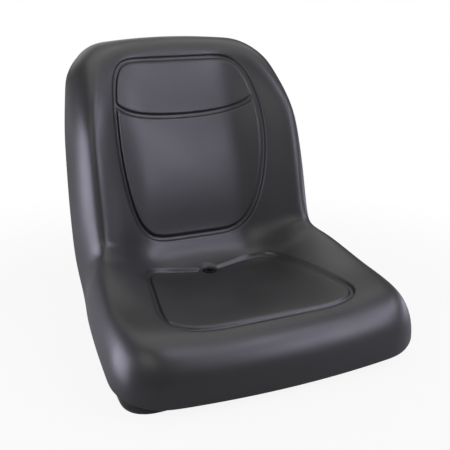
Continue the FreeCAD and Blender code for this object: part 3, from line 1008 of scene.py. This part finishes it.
@dataclass(frozen=True)
class Finish:
    """A finish: its name, two shades that it varies between, its roughness and its grain."""

    name: str
    dark: Triple
    light: Triple
    rough: Pair
    pebble_scale: float
    patch_scale: float
    bump: float
    bump_height: float
    metallic: float = 0.0
    specular: float = 0.5
    patch_range: Pair = (0.3, 0.7)
    grain: PebbleGrain = PebbleGrain()

    def material(self) -> bpy.types.Material:
        """Material of this finish: shade and roughness follow the patches, the bump the grain.

        Returns:
            The material.
        """
        material = bpy.data.materials.new(self.name)
        material.use_nodes = True
        nodes = Nodes(material.node_tree)
        grain = nodes.add(
            "ShaderNodeGroup",
            node_tree=self.grain.group(),
            Pebble_Scale=self.pebble_scale,
            Patch_Scale=self.patch_scale,
        ).outputs
        shade = nodes.add(
            "ShaderNodeMix",
            data_type="RGBA",
            Factor=grain["Patches"],
            i6=(*self.dark, 1.0),
            i7=(*self.light, 1.0),
        )
        bump = nodes.add(
            "ShaderNodeBump", Strength=self.bump, Distance=self.bump_height, Height=grain["Height"]
        )
        shader = nodes.add(
            "ShaderNodeBsdfPrincipled",
            Base_Color=shade.outputs[2],
            Roughness=nodes.mapped(grain["Patches"], self.patch_range, self.rough),
            Normal=bump.outputs[0],
            Metallic=self.metallic,
            Specular_IOR_Level=self.specular,
        )
        nodes.add("ShaderNodeOutputMaterial", Surface=shader.outputs[0])
        return material


VINYL = Finish(
    name="black_vinyl",
    dark=(0.0135, 0.0134, 0.0129),
    light=(0.0175, 0.0173, 0.0168),
    rough=(0.38, 0.45),
    pebble_scale=900.0, patch_scale=14.0,
    bump=0.10, bump_height=0.0004,
)
PAN_PAINT = Finish(
    name="black_pan_paint",
    dark=(0.008, 0.008, 0.0085),
    light=(0.014, 0.014, 0.015),
    rough=(0.32, 0.45),
    pebble_scale=420.0, patch_scale=18.0,
    bump=0.08, bump_height=0.0004,
    specular=0.4,
)
GROMMET_RUBBER = Finish(
    name="black_grommet",
    dark=(0.003, 0.003, 0.003),
    light=(0.006, 0.006, 0.006),
    rough=(0.62, 0.75),
    pebble_scale=1500.0, patch_scale=60.0,
    bump=0.1, bump_height=0.0003,
    specular=0.15,
)
NUT_ZINC = Finish(
    name="zinc_nuts",
    dark=(0.42, 0.42, 0.44),
    light=(0.58, 0.57, 0.55),
    rough=(0.3, 0.45),
    pebble_scale=1800.0, patch_scale=120.0,
    bump=0.1, bump_height=0.0002,
    metallic=1.0,
)


@dataclass(frozen=True)
class Hardware:
    """Solids that keep their shape and only get a finish."""

    finishes: tuple[tuple[Node, Finish], ...] = (
        (Node.PAN, PAN_PAINT),
        (Node.DRAIN, GROMMET_RUBBER),
        (Node.NUTS, NUT_ZINC),
    )

    def dress(self) -> None:
        """Give each solid its finish."""
        for node, finish in self.finishes:
            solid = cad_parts[node.value]
            solid.data.materials.clear()
            solid.data.materials.append(finish.material())
            log.info("%s dressed in %s", node.value, finish.name)


def direction(azimuth: float, elevation: float) -> Vector:
    """Way out from the seat: degrees from its front to the right, and degrees up."""
    a, e = math.radians(azimuth), math.radians(elevation)
    return Vector((math.sin(a) * math.cos(e), -math.cos(a) * math.cos(e), math.sin(e)))


@dataclass(frozen=True)
class SoftBox:
    """Studio light: its direction from the seat, distance, size and how bright its face is."""

    name: str
    azimuth: float
    elevation: float
    distance: float
    width: float
    height: float
    radiance: float
    colour: Triple = COOL_LIGHT
    target: Triple = (0.0, 0.08, 0.2)

    def build(self) -> None:
        """Make the light; its power is four times its radiance times its area."""
        way = direction(self.azimuth, self.elevation)
        data = bpy.data.lights.new(self.name, "AREA")
        data.shape = "RECTANGLE"
        data.size = self.width
        data.size_y = self.height
        data.energy = 4 * self.radiance * self.width * self.height
        data.color = self.colour
        lamp = bpy.data.objects.new(self.name, data)
        lamp.location = Vector(self.target) + way * self.distance
        lamp.rotation_euler = (-way).to_track_quat("-Z", "Y").to_euler()
        bpy.context.scene.collection.objects.link(lamp)


def mirrored_rays(nodes: Nodes, rays: bpy.types.NodeOutputs) -> Socket:
    """A mask of the rays that are mirrored or let through: the larger of the two kinds."""
    return nodes.math("MAXIMUM", rays["Is Glossy Ray"], rays["Is Transmission Ray"])


@dataclass(frozen=True)
class Studio:
    """Pale floor, white surroundings, soft lights and the camera.

    Each light has its azimuth, elevation, distance, width, height and radiance.
    """

    azimuth: float = -27.72
    elevation: float = 18.87
    roll: float = 1.48
    target: Triple = (0.0144, 0.07119, 0.17816)
    distance: float = 1.379
    focal_pixels: float = 880.6
    image_pixels: float = 450.0
    middle_offset: Pair = (6.47, 0.53)
    sensor: float = 36.0
    floor_half: float = 12.0
    floor_gap: float = 0.0005
    floor_grey: float = 0.38
    floor_glow: Pair = (0.90, 1.0)
    glow_reach: Pair = (0.45, 0.95)
    mirrored_glow: Pair = (0.08, 1.0)
    mirrored_reach: Pair = (1.2, 5.0)
    ambient: float = 0.14
    mirrored_ambient: float = 0.18
    lights: tuple[SoftBox, ...] = (
        SoftBox("front_box", 35.0, 22.0, 1.18, 0.52, 0.38, 6.6),
        SoftBox("right_front_box", 66.0, 31.0, 1.6, 0.72, 0.42, 6.0),
        SoftBox("upper_box", 41.0, 54.0, 1.6, 0.70, 0.36, 7.0),
        SoftBox("left_box", -98.0, 3.0, 0.95, 0.86, 0.54, 5.9),
        SoftBox("fill_box", -38.0, 38.0, 1.6, 0.80, 0.80, 1.8, PLAIN_LIGHT),
        SoftBox("top_box", 180.0, 80.0, 1.6, 1.5, 1.5, 1.25, PLAIN_LIGHT),
        SoftBox("rear_box", 176.0, 26.0, 1.6, 1.2, 0.8, 0.9, PLAIN_LIGHT),
        SoftBox("back_box", 125.0, 48.0, 1.6, 0.8, 0.6, 1.2, PLAIN_LIGHT),
        SoftBox("right_box", 90.0, -6.0, 1.2, 0.6, 0.14, 4.5),
    )

    def camera(self) -> None:
        """Camera at the photograph's angle: it looks at the target, with a slight roll."""
        a, roll = math.radians(self.azimuth), math.radians(self.roll)
        back = direction(self.azimuth, self.elevation)
        level = Vector((math.cos(a), math.sin(a), 0.0))
        upright = back.cross(level)
        right = level * math.cos(roll) + upright * math.sin(roll)
        up = upright * math.cos(roll) - level * math.sin(roll)
        data = bpy.data.cameras.new("seat_camera")
        data.sensor_width = self.sensor
        data.lens = self.focal_pixels * self.sensor / self.image_pixels
        data.shift_x = -self.middle_offset[0] / self.image_pixels
        data.shift_y = self.middle_offset[1] / self.image_pixels
        camera = bpy.data.objects.new("seat_camera", data)
        turn = Matrix((right, up, back)).transposed().to_4x4()
        camera.matrix_world = Matrix.Translation(Vector(self.target) + back * self.distance) @ turn
        bpy.context.scene.collection.objects.link(camera)
        bpy.context.scene.camera = camera

    def floor(self) -> None:
        """Pale floor under the seat, white to the camera where no shadow falls on it."""
        half = self.floor_half
        corners = [(-half, -half, 0.0), (half, -half, 0.0), (half, half, 0.0), (-half, half, 0.0)]
        mesh = bpy.data.meshes.new("floor")
        mesh.from_pydata(corners, [], [(0, 1, 2, 3)])
        mesh.materials.append(self.floor_material())
        floor = bpy.data.objects.new("floor", mesh)
        floor.location.z = CAD_BOX[0].z - self.floor_gap
        bpy.context.scene.collection.objects.link(floor)

    def floor_material(self) -> bpy.types.Material:
        """Matt grey that glows white: a share for camera rays and another for mirrored ones.

        Both shares grow with the distance from the seat.

        Returns:
            The material.
        """
        material = bpy.data.materials.new("pale_floor")
        material.use_nodes = True
        nodes = Nodes(material.node_tree)
        rays = nodes.add("ShaderNodeLightPath").outputs
        place = nodes.add("ShaderNodeTexCoord").outputs["Object"]
        away = nodes.add("ShaderNodeVectorMath", operation="LENGTH", i0=place).outputs["Value"]
        seen = nodes.mapped(away, self.glow_reach, self.floor_glow, "SMOOTHSTEP")
        mirrored = nodes.mapped(away, self.mirrored_reach, self.mirrored_glow, "SMOOTHSTEP")
        mirrored_share = nodes.math("MULTIPLY", mirrored_rays(nodes, rays), mirrored)
        share = nodes.math("MULTIPLY_ADD", rays["Is Camera Ray"], seen, mirrored_share)
        matt = nodes.add("ShaderNodeBsdfDiffuse", Color=(*[self.floor_grey] * 3, 1.0))
        white = nodes.add("ShaderNodeEmission", Color=WHITE, Strength=1.0)
        mixed = nodes.add(
            "ShaderNodeMixShader", i0=share, i1=matt.outputs[0], i2=white.outputs[0]
        )
        nodes.add("ShaderNodeOutputMaterial", Surface=mixed.outputs[0])
        return material

    def surroundings(self) -> None:
        """Dim light from all round, a little brighter to mirrored rays and white to the camera."""
        world = bpy.data.worlds.new("studio")
        bpy.context.scene.world = world
        world.use_nodes = True
        nodes = Nodes(world.node_tree)
        rays = nodes.add("ShaderNodeLightPath").outputs
        levels = (self.ambient, self.mirrored_ambient)
        dim = nodes.mapped(mirrored_rays(nodes, rays), (0.0, 1.0), levels)
        level = nodes.math("MAXIMUM", dim, rays["Is Camera Ray"])
        light = nodes.add("ShaderNodeBackground", Color=WHITE, Strength=level)
        nodes.add("ShaderNodeOutputWorld", Surface=light.outputs[0])

    def build(self) -> None:
        """Set up the whole studio."""
        self.camera()
        self.floor()
        self.surroundings()
        for light in self.lights:
            light.build()
            log.info("light %s", light.name)
        bpy.context.scene.view_settings.view_transform = "Standard"


def main() -> None:
    """Build the dressed seat and its studio, piece by piece."""
    logging.basicConfig(level=logging.INFO, format="%(name)s: %(message)s")
    Studio().build()
    cushion = Cushion().build(VINYL)
    log.info("%s: %d faces", cushion.name, len(cushion.data.polygons))
    Hardware().dress()


if __name__ == "__main__":
    main()
